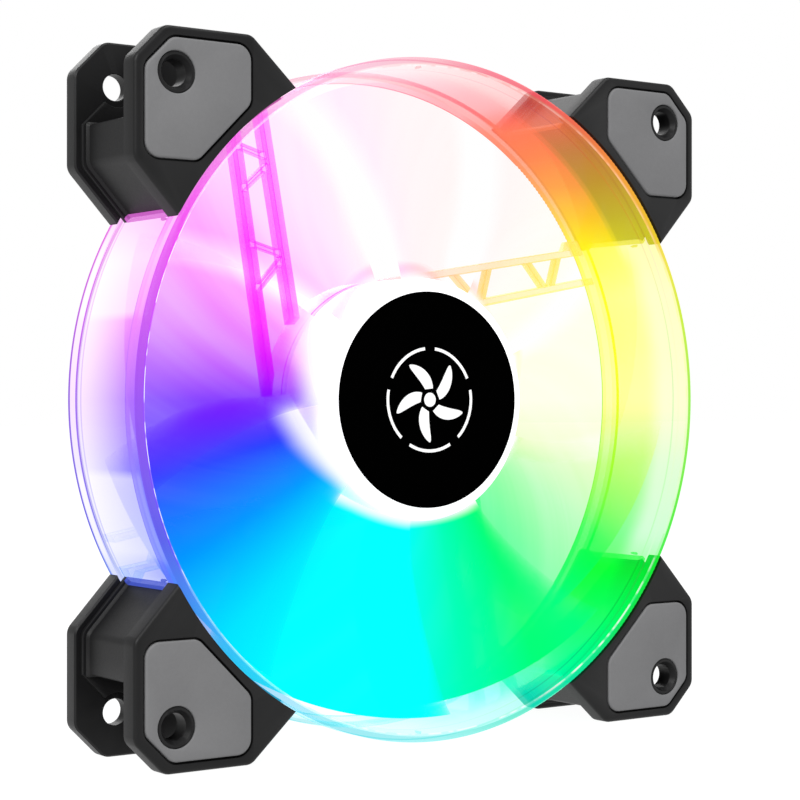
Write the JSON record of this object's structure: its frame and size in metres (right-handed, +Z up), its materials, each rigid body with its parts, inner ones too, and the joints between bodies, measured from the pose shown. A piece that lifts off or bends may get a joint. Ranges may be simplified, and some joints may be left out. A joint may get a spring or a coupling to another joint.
{
  "type": "case fan",
  "caption": "Square-pattern case fan: clear ring with black corner brackets and rubber pads, clear swept impeller lit in rainbow colours, lattice struts and motor.",
  "frame": {"origin": "on the rotor axis, halfway through the thickness, which is the centre of the bounding box", "axes": "the fan faces -Y, so air leaves along +Y; +X is right and +Z is up as seen from the front"},
  "size_m": [0.12, 0.025, 0.12],
  "materials": {
    "clear_ring_plastic": "clear polycarbonate, polished",
    "clear_strut_plastic": "clear polycarbonate, polished",
    "black_bracket": "fine moulded satin black",
    "grey_rubber": "matt grey silicone rubber",
    "motor_base_plastic": "frosted clear plastic",
    "brass_tube": "turned",
    "sintered_bronze": "porous sintered bronze",
    "black_rubber": "matt",
    "white_nylon": "moulded nylon",
    "lamination_steel": "stacked laminations",
    "copper_wire": "enamelled copper wire",
    "tinned_pins": "tinned",
    "board_green": "solder mask",
    "chip_black": "epoxy package",
    "board_component": "ceramic",
    "led_white": "light package",
    "rear_label_film": "printed film",
    "lit_impeller_plastic": "clear plastic lit from the hub",
    "black_label_film": "satin printed film",
    "yoke_steel": "drawn steel",
    "ferrite_magnet": "bonded ferrite",
    "shaft_steel": "ground"
  },
  "bodies": {
    "frame": {"clear_ring": "clear_ring_plastic", "strut_upper_right": "clear_strut_plastic", "strut_lower_right": "clear_strut_plastic", "strut_lower_left": "clear_strut_plastic", "strut_upper_left": "clear_strut_plastic", "corner_upper_right": "black_bracket", "corner_lower_right": "black_bracket", "corner_lower_left": "black_bracket", "corner_upper_left": "black_bracket", "front_pad_upper_right": "grey_rubber", "front_pad_lower_right": "grey_rubber", "front_pad_lower_left": "grey_rubber", "front_pad_upper_left": "grey_rubber", "rear_pad_upper_right": "grey_rubber", "rear_pad_lower_right": "grey_rubber", "rear_pad_lower_left": "grey_rubber", "rear_pad_upper_left": "grey_rubber", "motor_base": "motor_base_plastic", "bearing_tube": "brass_tube", "sleeve_bearing": "sintered_bronze", "oil_seal": "black_rubber", "thrust_cap": "white_nylon", "front_bobbin": "white_nylon", "rear_bobbin": "white_nylon", "stator_core": "lamination_steel", "coils": "copper_wire", "winding_pins": "tinned_pins", "motor_board": "board_green", "driver_chip": "chip_black", "board_parts": "board_component", "hub_leds": "led_white", "rear_label": "rear_label_film"},
    "rotor": {"impeller": "lit_impeller_plastic", "hub_label": "black_label_film", "rotor_yoke": "yoke_steel", "rotor_magnet": "ferrite_magnet", "shaft": "shaft_steel", "retaining_clip": "white_nylon"}
  },
  "joints": [
    {"name": "rotor_spin", "type": "hinge", "parent": "frame", "child": "rotor", "pos_m": [0, 0, 0], "axis": [0, -1, 0], "continuous": true}
  ]
}
